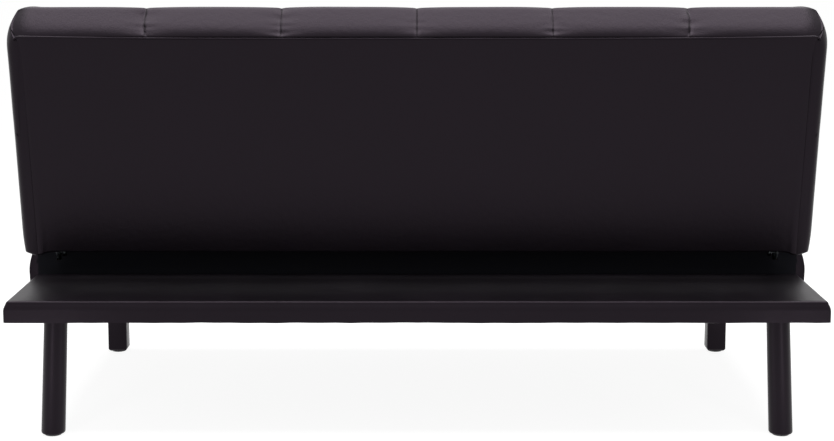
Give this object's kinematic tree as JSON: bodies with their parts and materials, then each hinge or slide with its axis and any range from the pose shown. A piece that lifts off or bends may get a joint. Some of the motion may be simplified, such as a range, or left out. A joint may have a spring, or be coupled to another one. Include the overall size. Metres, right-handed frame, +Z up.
{
  "type": "click clack sofa bed",
  "caption": "Armless sofa bed in black artificial leather, with a tufted box seat and a back on ratchet hinges that folds flat onto a padded shelf behind the seat.",
  "frame": {"origin": "on the floor, under the middle of the sofa as it stands with its back up", "axes": "+Z up, -Y towards the front of the seat, +X along the sofa"},
  "size_m": [1.696, 0.855, 0.8721],
  "materials": {
    "black_artificial_leather": "black artificial leather with a slight purple cast and a soft sheen",
    "frame_timber": "planed softwood",
    "core_board": "raw board",
    "dust_cloth": "black spun dust cloth",
    "spring_wire": "bright spring wire",
    "hinge_steel": "zinc plated pressed steel",
    "black_lacquer": "black lacquer with a soft gloss",
    "glide_plastic": "black moulded plastic"
  },
  "bodies": {
    "base": {"seat_cushion": "black_artificial_leather", "shelf_cover": "black_artificial_leather", "seat_rail_rear": "frame_timber", "seat_rail_front": "frame_timber", "seat_rail_left": "frame_timber", "seat_rail_right": "frame_timber", "seat_cross_rail_left": "frame_timber", "seat_cross_rail_right": "frame_timber", "front_leg_cleat_left": "frame_timber", "front_leg_cleat_right": "frame_timber", "shelf_core": "core_board", "seat_dust_cloth": "dust_cloth", "shelf_dust_cloth": "dust_cloth", "seat_springs_left": "spring_wire", "seat_springs_middle": "spring_wire", "seat_springs_right": "spring_wire", "pawl_spring_left": "spring_wire", "pawl_spring_right": "spring_wire", "tie_rail_left": "hinge_steel", "tie_rail_right": "hinge_steel", "rear_leg_plate_left": "hinge_steel", "rear_leg_plate_right": "hinge_steel", "hinge_seat_arm_left": "hinge_steel", "hinge_seat_arm_right": "hinge_steel", "hinge_pivot_left": "hinge_steel", "hinge_pivot_right": "hinge_steel", "pawl_pin_left": "hinge_steel", "pawl_pin_right": "hinge_steel", "seat_arm_bolt_1_left": "hinge_steel", "seat_arm_bolt_1_right": "hinge_steel", "seat_arm_bolt_2_left": "hinge_steel", "seat_arm_bolt_2_right": "hinge_steel", "rear_leg_left": "black_lacquer", "rear_leg_right": "black_lacquer", "front_leg_left": "black_lacquer", "front_leg_right": "black_lacquer", "rear_foot_glide_left": "glide_plastic", "rear_foot_glide_right": "glide_plastic", "front_foot_glide_left": "glide_plastic", "front_foot_glide_right": "glide_plastic"},
    "back": {"back_cushion": "black_artificial_leather", "back_panel": "black_artificial_leather", "back_piping": "black_artificial_leather", "back_rail_bottom": "frame_timber", "back_rail_top": "frame_timber", "back_rail_left": "frame_timber", "back_rail_right": "frame_timber", "back_stile": "frame_timber", "back_springs_left": "spring_wire", "back_springs_right": "spring_wire", "hinge_back_arm_left": "hinge_steel", "hinge_back_arm_right": "hinge_steel", "back_arm_bolt_1_left": "hinge_steel", "back_arm_bolt_1_right": "hinge_steel", "back_arm_bolt_2_left": "hinge_steel", "back_arm_bolt_2_right": "hinge_steel"},
    "pawl_left": {"pawl_left": "hinge_steel"},
    "pawl_right": {"pawl_right": "hinge_steel"}
  },
  "joints": [
    {"name": "back_recline", "type": "hinge", "parent": "base", "child": "back", "pos_m": [0, 0.1433, 0.3768], "axis": [1, 0, 0], "range_deg": [-77.92, 10]},
    {"name": "pawl_drop_left", "type": "hinge", "parent": "base", "child": "pawl_left", "pos_m": [-0.7784, 0.1331, 0.336], "axis": [1, 0, 0], "range_deg": [0, 8.5], "stiffness_Nm_per_rad": 0.05},
    {"name": "pawl_drop_right", "type": "hinge", "parent": "base", "child": "pawl_right", "pos_m": [0.7784, 0.1331, 0.336], "axis": [1, 0, 0], "range_deg": [0, 8.5], "stiffness_Nm_per_rad": 0.05}
  ]
}
